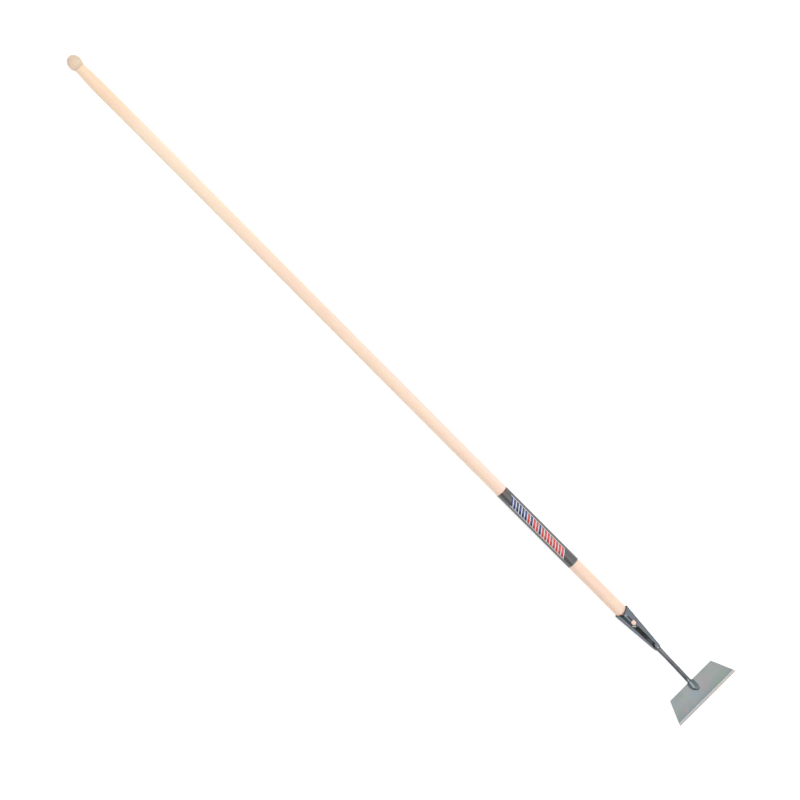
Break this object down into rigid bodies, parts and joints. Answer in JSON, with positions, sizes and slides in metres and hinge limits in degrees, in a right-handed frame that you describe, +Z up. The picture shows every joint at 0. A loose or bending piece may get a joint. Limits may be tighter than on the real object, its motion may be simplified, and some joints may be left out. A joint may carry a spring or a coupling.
{
  "type": "dutch hoe",
  "caption": "Push hoe: flat trapezoid blade on a bent steel neck and rolled open-seam socket, long round wooden handle with a turned end knob.",
  "frame": {"origin": "on the ground, under the middle of the bounding box, with the hoe lying seam side up", "axes": "+X along the handle from the end knob to the blade, +Y sideways along the cutting edge, +Z up"},
  "size_m": [1.8454, 0.16, 0.0336],
  "materials": {
    "handle_wood": "sanded pale ash with long fine grain, satin",
    "knob_wood": "sanded pale wood with end grain at the tip, duller than the handle",
    "sleeve_film": "dark grey printed film, slightly glossy",
    "lacquered_steel": "clear lacquer over dark blue-grey steel, satin",
    "blade_steel": "smooth satin steel, ground along the cutting edge"
  },
  "bodies": {
    "root": {"handle": "handle_wood", "end_knob": "knob_wood", "label_sleeve": "sleeve_film", "socket": "lacquered_steel", "neck": "lacquered_steel", "blade": "blade_steel"}
  },
  "joints": []
}
